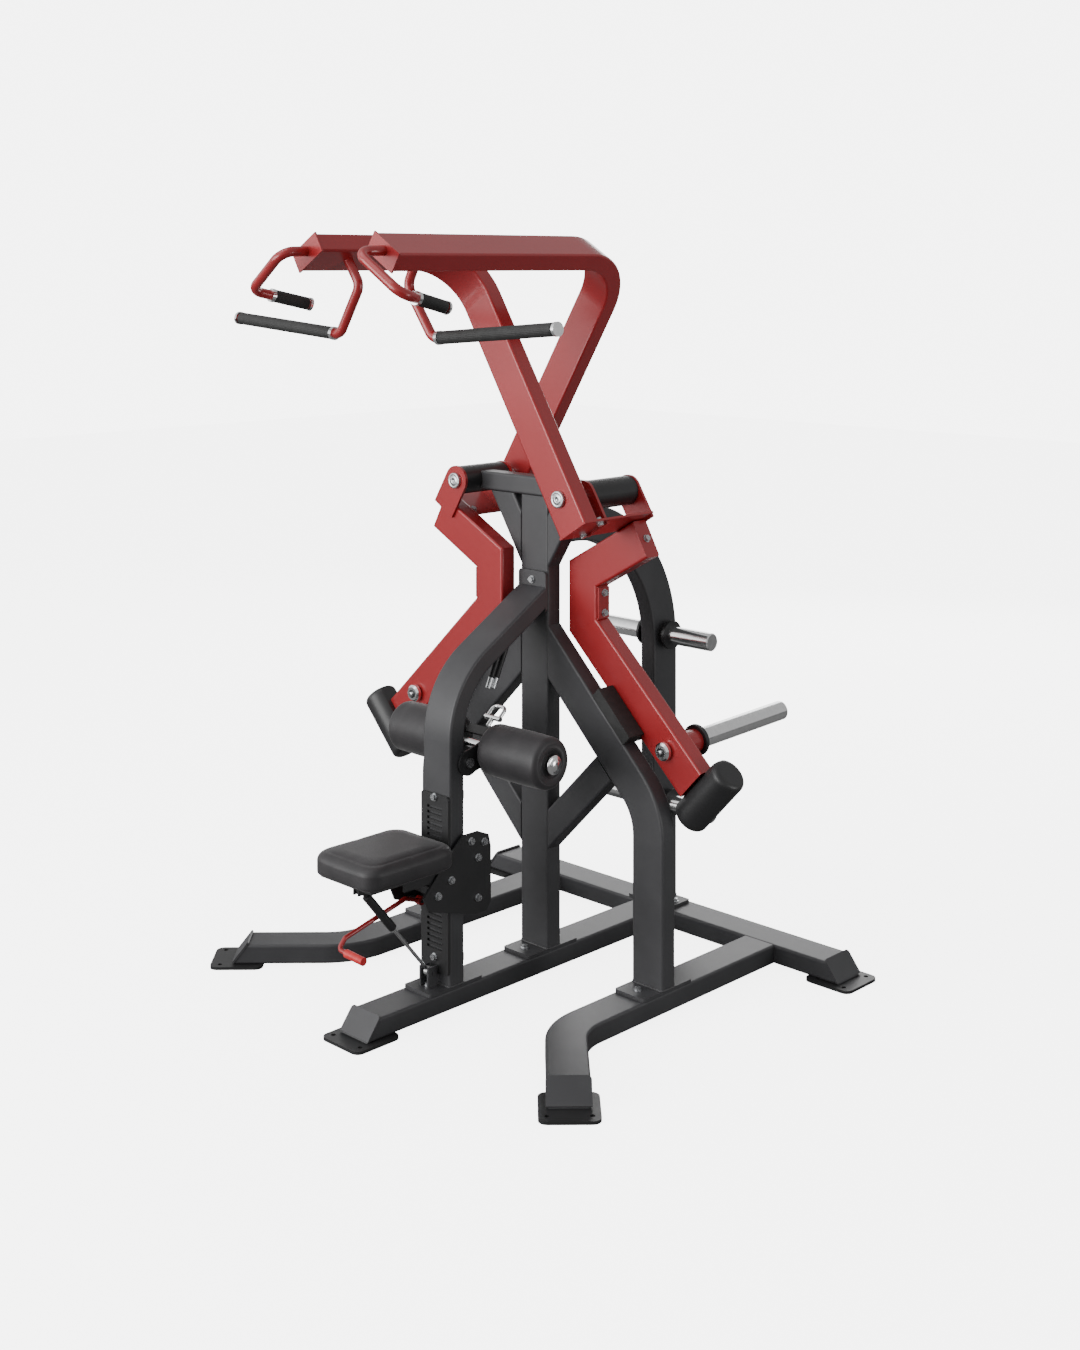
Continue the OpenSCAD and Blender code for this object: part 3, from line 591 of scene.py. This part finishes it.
def looseParts(node):
    # arrays of points, one for each separate solid in a node
    mesh = bmesh.new()
    mesh.from_mesh(nodes[node].data)
    bmesh.ops.remove_doubles(mesh, verts=mesh.verts, dist=0.00001)
    left = set(mesh.verts)
    parts = []
    while left:
        stack = [left.pop()]
        found = list(stack)
        while stack:
            vert = stack.pop()
            for edge in vert.link_edges:
                other = edge.other_vert(vert)
                if other in left:
                    left.remove(other)
                    stack.append(other)
                    found.append(other)
        parts.append(np.array([v.co[:] for v in found]))
    mesh.free()
    return sorted(parts, key=lambda p: abs(p[:, 0]).max())


def addGrips(side):
    for i, part in enumerate(looseParts(side + "_grips")):
        middle, axis, first, last, radius = barOf(part)
        length = last - first
        chamfer = grips["chamfer"] * mm
        steps = np.linspace(0, length, 24)[1:-1]
        inner = radius - grips["wall"] * mm
        along = np.concatenate([[0, 0, chamfer], steps, [length - chamfer, length, length]])
        lip = [inner, radius - chamfer]
        rad = np.concatenate([lip, np.full(len(steps) + 2, radius), lip[::-1]])
        depth = grips["depth"] * mm

        def flutes(angle, distance, depth=depth, length=length):
            # shallow flutes run the whole length and fade out at the ends
            fade = np.clip(np.minimum(distance, length - distance) / (grips["fade"] * mm), 0, 1)
            return -depth * fade * (0.5 + 0.5 * np.cos(grips["ribs"] * angle))

        piece = turned(
            f"{side}Grip{i + 1}", middle + first * axis, axis, along, rad,
            side + "_lever", "rubber", 168, flutes,
        )
        closeBore(piece)
        if i == 0:
            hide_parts(side + "_grips")


for side in ("left", "right"):
    addGrips(side)
print("hand grips made")


# ---- caps, necks and pegs ----

machineBack = 104.4  # millimetres from the middle of the footprint back to the mast
pivot = {"x": 235.5, "z": 1280, "long": 183, "short": 97}  # millimetres; the shafts' ends from the mast
axleEnd = {"x": 283, "y": -240, "z": 638}  # millimetres


def spot(x, y, z):
    # a point given in millimetres from the foot of the mast
    return np.array([x, y + machineBack, z]) * mm


def lathe(name, at, axis, profile, body, slot, sides=48):
    # profile is a list of (millimetres along the axis, radius in millimetres)
    along, radius = np.array(profile, float).T * mm
    return turned(name, at, axis, along, radius, body, slot, sides, capEnds=True)


def sleeve(name, at, axis, profile, body, slot, sides=48):
    # a ring whose profile starts and ends on its inner wall
    along, radius = np.array(profile, float).T * mm
    piece = turned(name, at, axis, along, radius, body, slot, sides)
    closeBore(piece)
    return piece


shaftCapProfile = [
    (-6.8, 21.5), (-0.6, 21.5), (0.9, 20.8), (1.7, 19.2), (1.9, 16.0), (1.2, 15.2), (1.2, 13.6),
    (2.0, 12.8), (2.3, 8.0), (2.3, 5.2), (0.6, 4.6), (0.4, 0.3),
]
axleDomeProfile = [
    (-7.8, 24.6), (-1.0, 24.6), (0.6, 23.6), (1.4, 21.4), (1.2, 19.0),
    (3.4, 17.0), (5.6, 12.6), (6.8, 7.0), (7.2, 0.3),
]
for side, s in (("right", 1), ("left", -1)):
    # the right shaft reaches further forward, the left one further back
    front, back = ("long", "short") if s > 0 else ("short", "long")
    for place, y in (("Front", -pivot[front]), ("Back", pivot[back])):
        at = spot(s * pivot["x"], y, pivot["z"])
        out = (0, math.copysign(1, y), 0)
        lathe(side + "ShaftCap" + place, at, out, shaftCapProfile, side + "_lever", "zinc")
    at = spot(s * axleEnd["x"], axleEnd["y"], axleEnd["z"])
    lathe(side + "AxleDome", at, (s, 0, 0), axleDomeProfile, "thigh_arm", "chrome", 64)
print("shaft and axle caps made")

horn = {"rise": 2.0, "right": (408, 32, 645), "left": (-400, -82, 676)}  # degrees, then millimetres
rise = math.radians(horn["rise"])
hornAxis = np.array([0, math.cos(rise), math.sin(rise)])
for side in ("right", "left"):
    root = spot(*horn[side])
    body = side + "_lever"
    neck = [(51.5, 30.05), (51.5, 30.9), (53.0, 31.2), (113.0, 30.5), (114.6, 30.05)]
    sleeve(side + "HornNeck", root, hornAxis, neck, body, "red_paint", 64)
    rim = [(-19.6, 11.5), (-21.2, 11.5), (-22.0, 10.6), (-22.0, 7.2), (-19.6, 7.0)]
    sleeve(side + "HornWasher", root, hornAxis, rim, body, "black_plastic")
    head = [(-19.8, 6.9), (-25.0, 6.9), (-25.8, 6.0), (-25.8, 0.3)]
    lathe(side + "HornBolt", root, hornAxis, head, body, "zinc", 6)
print("horn necks and bolts made")

pegs = [((0, -129, 915), (0, -195, 773)), ((0, -99, 933), (0, -177, 770))]
for i, (top, tip) in enumerate(pegs):
    start, end = spot(*top), spot(*tip)
    length = np.linalg.norm(end - start) / mm
    # forty steps of ribs, the crests 0.4 mm above the grooves
    ribs = [(8 + k * (length - 36) / 40, 7.9 if k % 2 else 7.5) for k in range(41)]
    profile = [(8, 7.05)] + ribs + [(length - 28, 7.05)]
    sleeve(f"bandPegSleeve{i + 1}", start, end - start, profile, "frame", "black_plastic")
print("band peg sleeves made")


# ---- weld beads ----

weld = {
    "radius": 2.6, "pitch": 4.2, "corner": 8, "height": 66,  # millimetres
    "ripple": 0.16,  # share of the radius
    "sides": 8,
}


def loopAround(x, y, z, width, depth, corner):
    # a rounded rectangle on a level plane, in even steps
    points = []
    for cx, cy, first in ((1, 1, 0), (-1, 1, 90), (-1, -1, 180), (1, -1, 270)):
        for step in range(7):
            turn = math.radians(first + 15 * step)
            points.append((
                x + cx * (width / 2 - corner) + corner * math.cos(turn),
                y + cy * (depth / 2 - corner) + corner * math.sin(turn),
            ))
    points = np.array(points + points[:1])
    far = np.concatenate([[0], np.cumsum(np.linalg.norm(np.diff(points, axis=0), axis=1))])
    steps = np.arange(0, far[-1], weld["pitch"] / 4)
    flat = np.stack([np.interp(steps, far, points[:, 0]), np.interp(steps, far, points[:, 1])], 1)
    return np.array([spot(px, py, z) for px, py in flat]), steps


def weldBead(name, x, y, width=100, depth=50):
    # point = path + radius * (1 + ripple * |sin(pi * distance / pitch)|) * (cos * outward + sin * up)
    path, steps = loopAround(x, y, weld["height"], width, depth, weld["corner"])
    ahead = np.roll(path, -1, 0) - np.roll(path, 1, 0)
    ahead /= np.linalg.norm(ahead, axis=1, keepdims=True)
    outward = np.stack([ahead[:, 1], -ahead[:, 0], np.zeros(len(ahead))], 1)
    turn = np.linspace(0, 2 * np.pi, weld["sides"], endpoint=False)
    size = weld["radius"] * mm * (1 + weld["ripple"] * np.abs(np.sin(np.pi * steps / weld["pitch"])))
    up = np.array([0, 0, 1.0])
    ring = np.cos(turn)[None, :, None] * outward[:, None] + np.sin(turn)[None, :, None] * up
    points = path[:, None] + size[:, None, None] * ring
    points = np.concatenate([points, points[:1]])
    bead = gridObject(name, points, "frame", "frame_paint")
    bm = bmesh.new()
    bm.from_mesh(bead.data)
    bmesh.ops.remove_doubles(bm, verts=bm.verts, dist=0.00001)
    bmesh.ops.recalc_face_normals(bm, faces=bm.faces)
    bm.to_mesh(bead.data)
    bm.free()
    bead.data.shade_smooth()


weldBead("mastWeld", 0, 0)
weldBead("rightLegWeld", 395, 0)
weldBead("leftLegWeld", -395, 0)
weldBead("postWeld", 0, -350)
weldBead("archWeld", 0, 482, 50, 100)
print("weld beads made")
